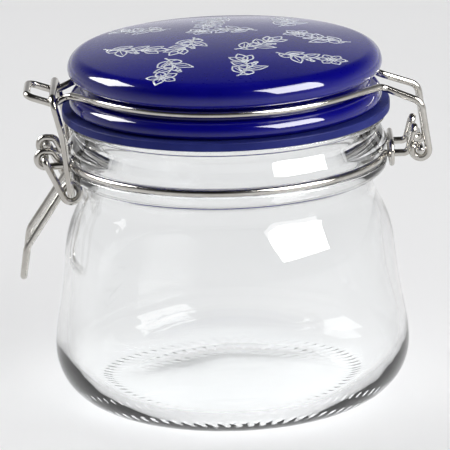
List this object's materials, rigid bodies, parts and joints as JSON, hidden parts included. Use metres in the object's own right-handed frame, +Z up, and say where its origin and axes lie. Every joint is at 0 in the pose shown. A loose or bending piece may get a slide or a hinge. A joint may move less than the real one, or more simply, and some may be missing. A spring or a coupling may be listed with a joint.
{
  "type": "clip-top glass canister",
  "caption": "Round-bellied glass canister with a domed ceramic lid on a rubber gasket, held by a wire hinge and an over-centre wire latch.",
  "frame": {"origin": "centre of the foot, on the jar's axis, at the surface it stands on", "axes": "+Z up along the jar's axis; +X towards the lid's hinge, so the latch is on -X; +Y along the hinge's axis"},
  "size_m": [0.1203, 0.1038, 0.1063],
  "materials": {
    "glass": "clear, glossy",
    "lid_glaze": "glossy deep blue glaze with a white sprig print",
    "gasket_rubber": "matt slate blue",
    "wire": "bright plated wire"
  },
  "bodies": {
    "jar": {"glass_jar": "glass", "neck_wire": "wire", "clamp_ring": "wire"},
    "lid": {"lid": "lid_glaze", "gasket": "gasket_rubber", "lid_wire": "wire"},
    "lever": {"lever": "wire"},
    "link": {"link": "wire"}
  },
  "joints": [
    {"name": "lid_hinge", "type": "hinge", "parent": "jar", "child": "lid", "pos_m": [0.0557, 0, 0.074], "axis": [0, 1, 0], "range_deg": [0, 110]},
    {"name": "lever_hinge", "type": "hinge", "parent": "jar", "child": "lever", "pos_m": [-0.0526, 0, 0.074], "axis": [0, 1, 0], "range_deg": [0, 100]},
    {"name": "link_hinge", "type": "hinge", "parent": "lever", "child": "link", "pos_m": [-0.0453, 0, 0.064], "axis": [0, 1, 0], "range_deg": [-125, 0]}
  ],
  "couplings": [
    {"joint": "lever_hinge", "follows": "lid_hinge", "ratio": 0.9},
    {"joint": "link_hinge", "follows": "lid_hinge", "ratio": -1.1}
  ]
}
